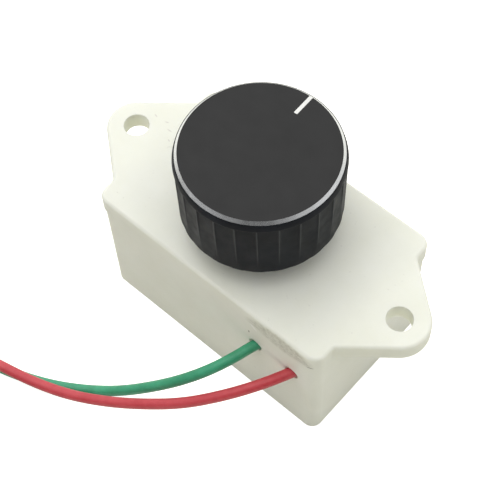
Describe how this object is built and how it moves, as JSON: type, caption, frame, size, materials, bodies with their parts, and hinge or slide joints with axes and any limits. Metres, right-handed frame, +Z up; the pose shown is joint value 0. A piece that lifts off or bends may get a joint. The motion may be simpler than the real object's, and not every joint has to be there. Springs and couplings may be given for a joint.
{
  "type": "fan speed control switch",
  "caption": "Rotary fan speed control: small moulded box with an eared face plate, a fluted knob with a pointer line, and two free leads.",
  "frame": {"origin": "middle of the underside of the box", "axes": "+X from ear to ear, -Y towards the long side where the leads leave, +Z up through the knob's axis"},
  "size_m": [0.0964, 0.1004, 0.0582],
  "materials": {
    "white_plastic": "satin moulded",
    "black_plastic": "satin moulded",
    "black_aluminium": "black anodised face, bright cut edge",
    "white_paint": "filled line",
    "zinc": "die cast and plated",
    "spring_steel": "plain",
    "steel": "zinc plated",
    "phenolic": "paper laminate",
    "dark_phenolic": "moulded",
    "carbon": "printed film",
    "tinned_metal": "tinned",
    "board_laminate": "paper laminate",
    "black_epoxy": "moulded",
    "plain_aluminium": "mill finish",
    "diode_glass": "lacquered",
    "ceramic": "plain",
    "resistor_lacquer": "lacquered",
    "capacitor_case": "moulded",
    "ferrite": "sintered",
    "enamelled_copper": "enamelled",
    "wire_white": "extruded",
    "green_insulation": "extruded",
    "red_insulation": "extruded"
  },
  "bodies": {
    "housing": {"housing_box": "white_plastic", "face_plate": "white_plastic", "pot_bushing": "zinc", "pot_wafer": "phenolic", "pot_track": "carbon", "pot_terminals": "tinned_metal", "pot_can": "zinc", "pot_washer": "zinc", "pot_nut": "zinc", "circuit_board": "board_laminate", "board_screws": "steel", "triac": "black_epoxy", "heat_sink": "plain_aluminium", "heat_sink_screw": "steel", "diac": "diode_glass", "fuse": "ceramic", "resistors": "resistor_lacquer", "timing_capacitor": "capacitor_case", "snubber_capacitor": "capacitor_case", "choke_core": "ferrite", "choke_winding": "enamelled_copper", "solder_joints": "tinned_metal", "jumper_wires": "wire_white", "green_lead_tail": "green_insulation", "red_lead_tail": "red_insulation", "green_lead": "green_insulation", "green_lead_coil": "green_insulation", "green_lead_tip": "tinned_metal", "red_lead": "red_insulation", "red_lead_coil": "red_insulation", "red_lead_tip": "tinned_metal"},
    "knob": {"knob_body": "black_plastic", "knob_cap": "black_aluminium", "pointer_line": "white_paint", "pot_shaft": "zinc", "shaft_clip": "spring_steel", "pot_rotor": "dark_phenolic", "pot_wiper": "spring_steel"}
  },
  "joints": [
    {"name": "knob_spin", "type": "hinge", "parent": "housing", "child": "knob", "pos_m": [0, 0, 0.04], "axis": [0, 0, 1], "range_deg": [-150, 150]}
  ]
}
